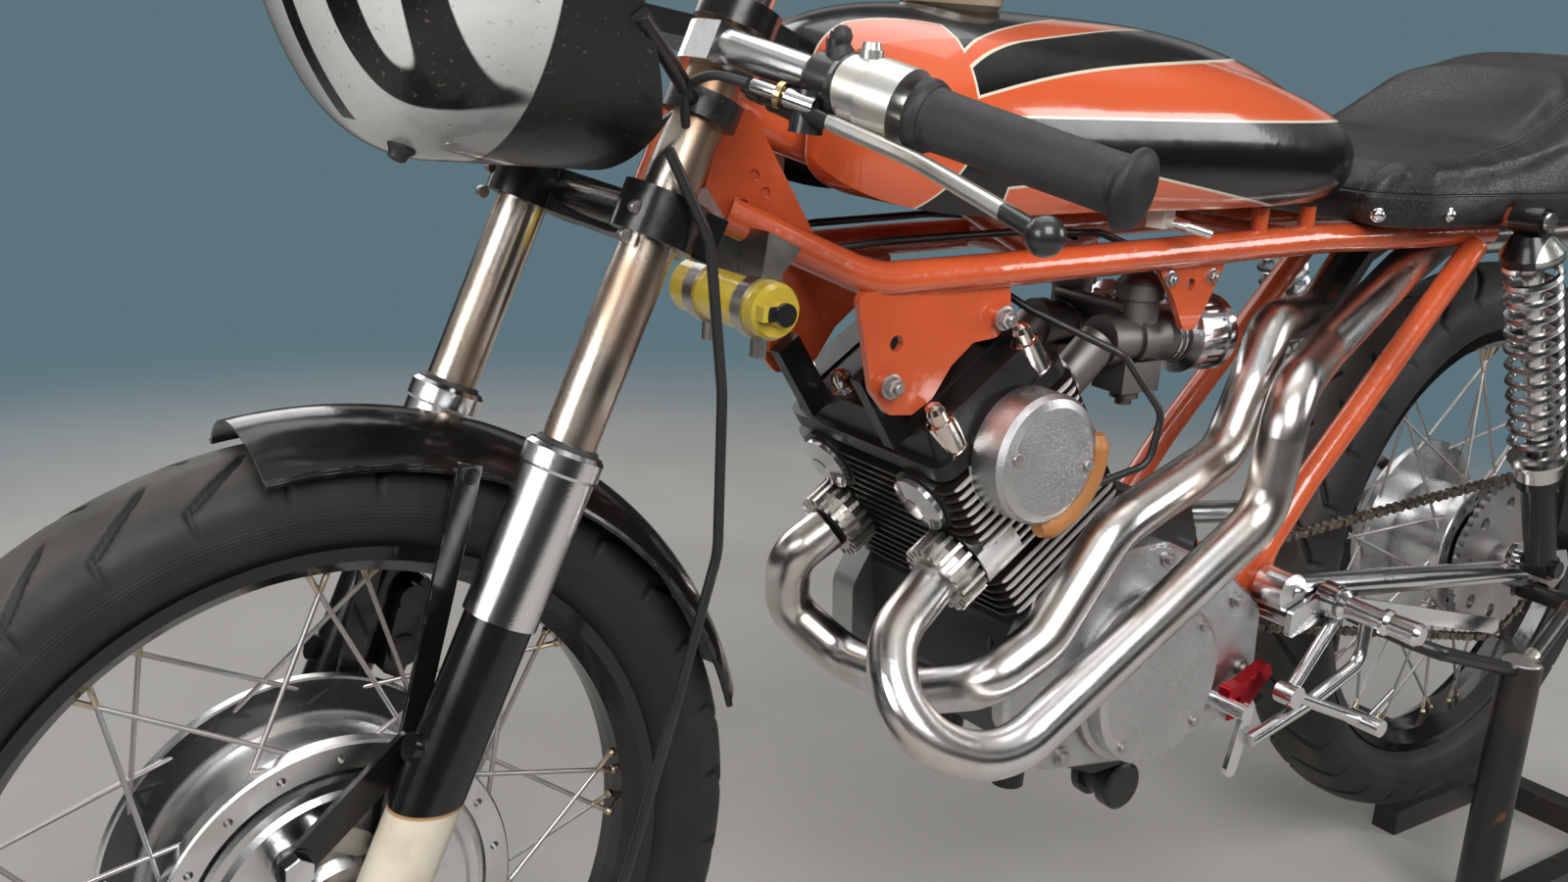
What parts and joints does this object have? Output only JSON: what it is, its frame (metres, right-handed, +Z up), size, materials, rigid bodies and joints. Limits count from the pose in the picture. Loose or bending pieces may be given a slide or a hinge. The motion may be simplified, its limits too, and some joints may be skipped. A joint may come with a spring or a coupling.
{
  "type": "cafe racer motorcycle on a paddock stand",
  "caption": "Slim racing motorcycle with finned twin engine, bowl number fairing, clip-on bars and upswept pipes, held upright on a paddock stand.",
  "frame": {"origin": "on the floor under the rear axle, on the sole of the stand's middle rail", "axes": "+X forward, +Y to the rider's left, +Z up"},
  "size_m": [1.895, 0.7528, 1.0695],
  "materials": {
    "vermilion_paint": "gloss",
    "black_paint": "gloss",
    "black_casting": "matt",
    "polished_alloy": "polished",
    "cast_alloy": "satin",
    "chrome": "mirror",
    "steel": "brushed",
    "chain_steel": "oiled",
    "tyre": "matt",
    "rubber": "matt",
    "yellow_enamel": "gloss",
    "tan_enamel": "worn",
    "brass": "polished",
    "black_vinyl": "satin",
    "white_glass_fibre": "gloss",
    "stand_paint": "worn",
    "black_plastic": "matt"
  },
  "bodies": {
    "chassis": {"frame": "vermilion_paint", "engine_hangers": "vermilion_paint", "crankcase": "black_casting", "engine_covers": "polished_alloy", "cylinders": "black_casting", "cylinder_head": "black_casting", "head_cover": "black_casting", "tappet_caps": "polished_alloy", "exhaust_collars": "cast_alloy", "exhaust_left": "chrome", "exhaust_right": "chrome", "carburettors": "cast_alloy", "air_filters": "chrome", "ignition_coil": "yellow_enamel", "fuel_tank": "vermilion_paint", "filler_cap": "tan_enamel", "fuel_tap": "brass", "seat": "black_vinyl", "swingarm": "chrome", "rear_axle": "steel", "shock_bodies": "black_paint", "shock_springs": "chrome", "drive_chain": "chain_steel", "footrests": "chrome", "paddock_stand": "stand_paint", "engine_cables": "black_plastic"},
    "fork": {"fork_yokes": "black_paint", "fork_stanchions": "chrome", "fork_sleeves": "chrome", "fork_legs": "black_paint", "clip_ons": "chrome", "grips": "rubber", "control_levers": "polished_alloy", "fairing": "white_glass_fibre", "front_mudguard": "black_paint", "front_axle": "polished_alloy", "brake_cable": "black_plastic"},
    "front_wheel": {"front_tyre": "tyre", "front_rim": "black_paint", "front_spokes": "steel", "front_hub": "polished_alloy"},
    "rear_wheel": {"rear_tyre": "tyre", "rear_rim": "black_paint", "rear_spokes": "steel", "rear_hub": "polished_alloy", "rear_sprocket": "steel"}
  },
  "joints": [
    {"name": "steering", "type": "hinge", "parent": "chassis", "child": "fork", "pos_m": [1.02085, 0, 0.8], "axis": [-0.3827, 0, 0.9239], "range_deg": [-20, 20]},
    {"name": "front_wheel_spin", "type": "hinge", "parent": "fork", "child": "front_wheel", "pos_m": [1.28, 0, 0.305], "axis": [0, 1, 0], "continuous": true},
    {"name": "rear_wheel_spin", "type": "hinge", "parent": "chassis", "child": "rear_wheel", "pos_m": [0, 0, 0.357], "axis": [0, 1, 0], "continuous": true}
  ]
}
